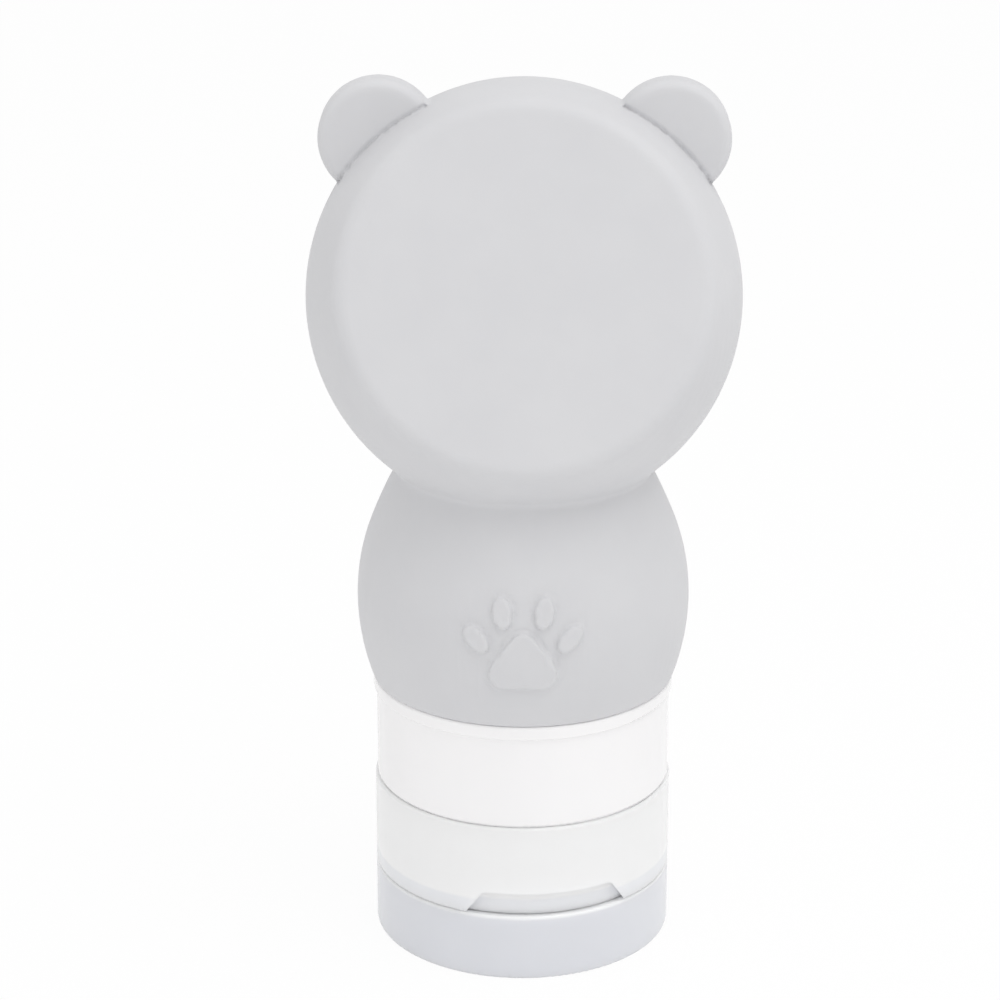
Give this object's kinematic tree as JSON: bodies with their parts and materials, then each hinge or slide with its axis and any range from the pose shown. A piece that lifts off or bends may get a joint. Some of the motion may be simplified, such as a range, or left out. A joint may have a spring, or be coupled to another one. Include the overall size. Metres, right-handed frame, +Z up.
{
  "type": "squeeze travel bottle",
  "caption": "Bear-shaped squeezable silicone travel bottle with a collar ring, a threaded neck and a translucent screw cap whose flip lid is also its foot.",
  "frame": {"origin": "middle of the flat rim round the outer face of the flip lid, which the bottle stands on", "axes": "+Z up along the neck's axis towards the head, -Y the bear's face and paw print, +X the bear's left ear as seen from the front on the right"},
  "size_m": [0.0564, 0.0448, 0.117],
  "materials": {
    "silicone": "matte, slightly soft sheen",
    "collar_white": "satin, slightly milky",
    "neck_white": "satin",
    "gasket_silicone": "matte",
    "cap_clear": "translucent, milky, smooth",
    "valve_silicone": "translucent, matte",
    "retainer_white": "matte",
    "lid_clear": "translucent, milky, smooth"
  },
  "bodies": {
    "bottle": {"bottle_body": "silicone", "collar_ring": "collar_white", "neck_insert": "neck_white"},
    "seal": {"neck_gasket": "gasket_silicone"},
    "cap": {"cap_base": "cap_clear", "outlet_valve": "valve_silicone", "valve_retainer": "retainer_white"},
    "lid": {"flip_lid": "lid_clear"}
  },
  "joints": [
    {"name": "cap_travel", "type": "slide", "parent": "bottle", "child": "seal", "axis": [0, 0, -1], "range_m": [0, 0.00675]},
    {"name": "cap_turn", "type": "hinge", "parent": "seal", "child": "cap", "pos_m": [0, 0, 0], "axis": [0, 0, -1], "range_deg": [0, 810]},
    {"name": "lid_hinge", "type": "hinge", "parent": "cap", "child": "lid", "pos_m": [-0.00357, 0.01927, 0.00918], "axis": [0.9833, 0.1822, 0], "range_deg": [0, 150]}
  ],
  "couplings": [
    {"joint": "cap_travel", "follows": "cap_turn", "m_per_rad": 0.00047746}
  ]
}
